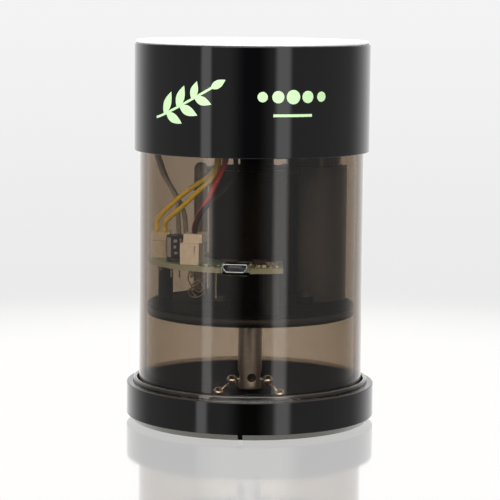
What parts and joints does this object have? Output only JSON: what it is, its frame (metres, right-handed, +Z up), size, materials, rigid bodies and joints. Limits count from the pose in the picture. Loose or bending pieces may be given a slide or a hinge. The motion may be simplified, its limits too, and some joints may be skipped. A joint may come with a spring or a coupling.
{
  "type": "cordless herb grinder",
  "caption": "Upright cordless grinder: smoky clear housing over a shallow cup, press-down cap, motor-driven spindle with a ball chain, rechargeable cell and board inside.",
  "frame": {"origin": "centre of the cup's underside, on the surface that it stands on", "axes": "+Z up along the spindle, -Y the front with the charging socket, +X to the right seen from the front"},
  "size_m": [0.0764, 0.0764, 0.1168],
  "materials": {
    "band_black": "polished gloss black",
    "board_green": "green solder mask, semi-gloss",
    "bush_bronze": "sintered bronze, matt",
    "capacitor_sleeve": "printed shrink sleeve",
    "cell_wrap": "dark grey shrink film",
    "chain_chrome": "bright plated",
    "chip_black": "moulded epoxy",
    "contact_brass": "bright",
    "cradle_black": "fine moulded texture, slightly worn",
    "cup_black": "polished black, lightly scuffed",
    "disc_white": "polished white",
    "frame_black": "fine moulded texture",
    "grub_dark": "black oxide",
    "lamp_clear": "diffuse white",
    "lip_smoky": "polished smoky, almost black",
    "magnet_dark": "matt ferrite",
    "motor_steel": "dark plated",
    "plug_cream": "cream nylon",
    "plug_white": "off-white nylon",
    "plunger_red": "moulded red",
    "post_clear": "clear, smoky",
    "post_grey": "moulded, dark grey",
    "screw_steel": "zinc plated",
    "seal_rubber": "satin moulded rubber",
    "smoky_clear": "polished smoky brown-grey transparent",
    "socket_chrome": "bright plated",
    "spindle_metal": "turned, satin",
    "tab_nickel": "nickel plated",
    "winding_copper": "enamelled copper",
    "wire_black": "black insulation",
    "wire_grey": "grey insulation",
    "wire_red": "red insulation",
    "wire_yellow": "yellow insulation"
  },
  "bodies": {
    "base": {"base_cup": "cup_black", "base_gasket": "lip_smoky"},
    "housing": {"housing_tube": "smoky_clear", "bulkhead": "frame_black", "bulkhead_seal": "seal_rubber", "shaft_seal": "seal_rubber", "shaft_bush": "bush_bronze", "motor_sleeve": "frame_black", "sleeve_screws": "grub_dark", "motor_can": "motor_steel", "motor_magnets": "magnet_dark", "motor_end_bell": "frame_black", "motor_terminals": "contact_brass", "motor_screws": "screw_steel", "battery_cradle": "cradle_black", "battery_cell": "cell_wrap", "battery_tabs": "tab_nickel", "wire_post": "post_clear", "board_posts": "post_grey", "board_screws": "screw_steel", "circuit_board": "board_green", "usb_shell": "socket_chrome", "usb_tongue": "frame_black", "motor_header": "plug_white", "motor_plug": "plug_white", "switch_header": "plug_cream", "switch_plug": "plug_cream", "capacitor": "capacitor_sleeve", "board_chips": "chip_black", "charge_led": "lamp_clear", "solder_pins": "tab_nickel", "switch_pedestal": "frame_black", "switch_body": "chip_black", "switch_terminals": "contact_brass", "spring_deck": "frame_black", "deck_screws": "screw_steel", "return_springs": "screw_steel", "yellow_wires": "wire_yellow", "red_wire": "wire_red", "black_wire": "wire_black", "grey_wires": "wire_grey"},
    "cap": {"cap_plate": "frame_black", "cap_band": "band_black", "cap_disc": "disc_white"},
    "plunger": {"switch_plunger": "plunger_red"},
    "spindle": {"spindle": "spindle_metal", "shaft_screw": "grub_dark", "chain_screw": "grub_dark", "chain_core": "chain_chrome", "motor_shaft": "screw_steel", "motor_armature": "motor_steel", "motor_windings": "winding_copper"},
    "left_link_1": {"left_link_1": "chain_chrome"},
    "left_link_2": {"left_link_2": "chain_chrome"},
    "left_link_3": {"left_link_3": "chain_chrome"},
    "left_tail": {"left_tail": "chain_chrome"},
    "right_link_1": {"right_link_1": "chain_chrome"},
    "right_link_2": {"right_link_2": "chain_chrome"},
    "right_link_3": {"right_link_3": "chain_chrome"},
    "right_tail": {"right_tail": "chain_chrome"}
  },
  "joints": [
    {"name": "housing_lift", "type": "slide", "parent": "base", "child": "housing", "axis": [0, 0, 1], "range_m": [0, 0.016]},
    {"name": "cap_press", "type": "slide", "parent": "housing", "child": "cap", "axis": [0, 0, -1], "range_m": [0, 0.002], "stiffness_N_per_m": 1000, "springref_m": -0.0012, "deforming": ["return_springs"]},
    {"name": "switch_press", "type": "slide", "parent": "housing", "child": "plunger", "axis": [0, 0, -1], "range_m": [0, 0.002]},
    {"name": "spindle_spin", "type": "hinge", "parent": "housing", "child": "spindle", "pos_m": [0, 0, 0.0128], "axis": [0, 0, 1], "continuous": true},
    {"name": "left_arm_1", "type": "hinge", "parent": "spindle", "child": "left_link_1", "pos_m": [0, 0, 0.0128], "axis": [0, 1, 0], "range_deg": [0, 15]},
    {"name": "left_arm_2", "type": "hinge", "parent": "left_link_1", "child": "left_link_2", "pos_m": [-0.00555, 0, 0.01131], "axis": [0, 1, 0], "range_deg": [0, 27]},
    {"name": "left_arm_3", "type": "hinge", "parent": "left_link_2", "child": "left_link_3", "pos_m": [-0.00983, 0, 0.00746], "axis": [0, 1, 0], "range_deg": [-9, 0]},
    {"name": "left_arm_4", "type": "hinge", "parent": "left_link_3", "child": "left_tail", "pos_m": [-0.01465, 0, 0.00433], "axis": [0, 1, 0], "range_deg": [-33, 0]},
    {"name": "right_arm_1", "type": "hinge", "parent": "spindle", "child": "right_link_1", "pos_m": [0, 0, 0.0128], "axis": [0, -1, 0], "range_deg": [0, 15]},
    {"name": "right_arm_2", "type": "hinge", "parent": "right_link_1", "child": "right_link_2", "pos_m": [0.00555, 0, 0.01131], "axis": [0, -1, 0], "range_deg": [0, 33]},
    {"name": "right_arm_3", "type": "hinge", "parent": "right_link_2", "child": "right_link_3", "pos_m": [0.0094, 0, 0.00704], "axis": [0, -1, 0], "range_deg": [-20, 0]},
    {"name": "right_arm_4", "type": "hinge", "parent": "right_link_3", "child": "right_tail", "pos_m": [0.01448, 0, 0.00434], "axis": [0, -1, 0], "range_deg": [-28, 0]}
  ],
  "couplings": [
    {"joint": "switch_press", "follows": "cap_press", "ratio": 1},
    {"joint": "left_arm_1", "follows": "left_arm_2", "ratio": 0.5555},
    {"joint": "left_arm_3", "follows": "left_arm_2", "ratio": -0.3333},
    {"joint": "left_arm_4", "follows": "left_arm_2", "ratio": -1.2222},
    {"joint": "right_arm_1", "follows": "right_arm_2", "ratio": 0.4545},
    {"joint": "right_arm_3", "follows": "right_arm_2", "ratio": -0.606},
    {"joint": "right_arm_4", "follows": "right_arm_2", "ratio": -0.8484}
  ]
}
